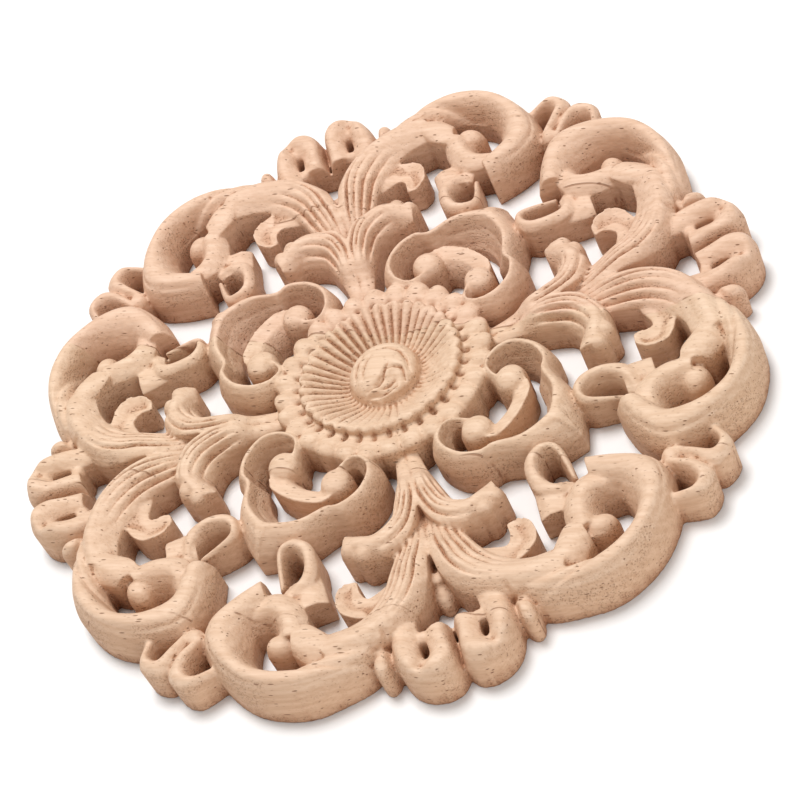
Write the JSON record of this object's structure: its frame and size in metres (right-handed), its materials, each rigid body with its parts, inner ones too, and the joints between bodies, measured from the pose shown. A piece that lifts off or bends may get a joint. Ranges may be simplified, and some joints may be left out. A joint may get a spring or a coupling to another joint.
{
  "type": "round carved wood applique",
  "caption": "Round pierced wood carving with scrolls, leaves, palmettes and a central rosette, flat at the back for fixing to furniture or a wall.",
  "frame": {"origin": "centre of the flat back face, on the plane it lies on", "axes": "+Z out of the carved face; +X and +Y along two of the four leaf stems, with a palmette at each end"},
  "size_m": [0.2, 0.2, 0.015],
  "materials": {
    "wood": "bare, machine carved and lightly sanded, matte"
  },
  "bodies": {
    "root": {"carved_panel": "wood"}
  },
  "joints": []
}
